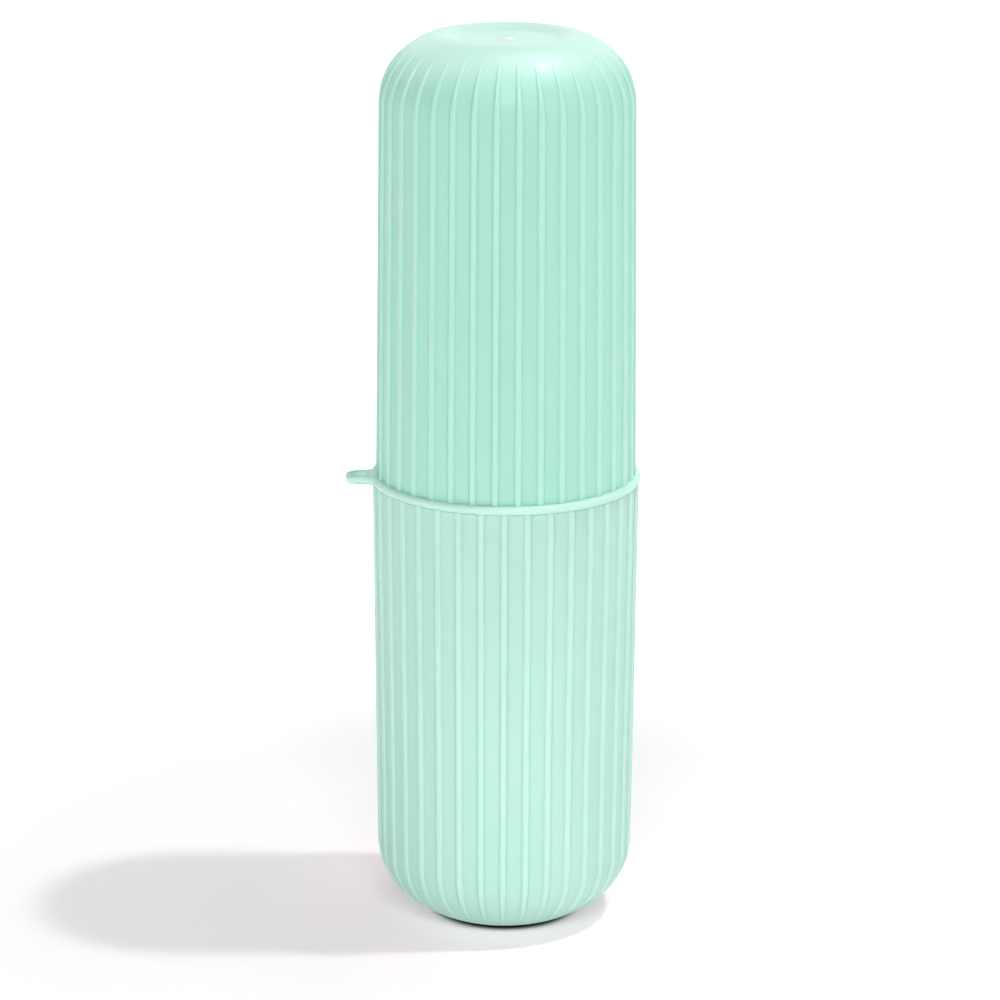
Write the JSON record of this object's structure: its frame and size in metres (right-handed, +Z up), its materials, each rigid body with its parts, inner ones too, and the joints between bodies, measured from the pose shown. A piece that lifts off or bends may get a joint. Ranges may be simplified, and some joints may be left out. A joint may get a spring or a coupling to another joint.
{
  "type": "toothbrush case",
  "caption": "Upright cylindrical travel toothbrush case with vertical ribs: a rounded cup, a collar with a hanging loop and a rounded lid that lifts off.",
  "frame": {"origin": "centre of the cup's flat foot, on the case's axis, where it stands", "axes": "+Z up along the case's axis towards the lid, -X towards the hanging loop, +Y completes the right-handed frame"},
  "size_m": [0.0687, 0.0626, 0.21],
  "materials": {
    "cup_plastic": "satin moulded polypropylene",
    "collar_plastic": "satin moulded polypropylene",
    "lid_plastic": "satin moulded polypropylene"
  },
  "bodies": {
    "base": {"cup": "cup_plastic", "collar": "collar_plastic"},
    "lid": {"lid": "lid_plastic"}
  },
  "joints": [
    {"name": "lid_lift", "type": "slide", "parent": "base", "child": "lid", "axis": [0, 0, 1], "range_m": [0, 0.12]}
  ]
}
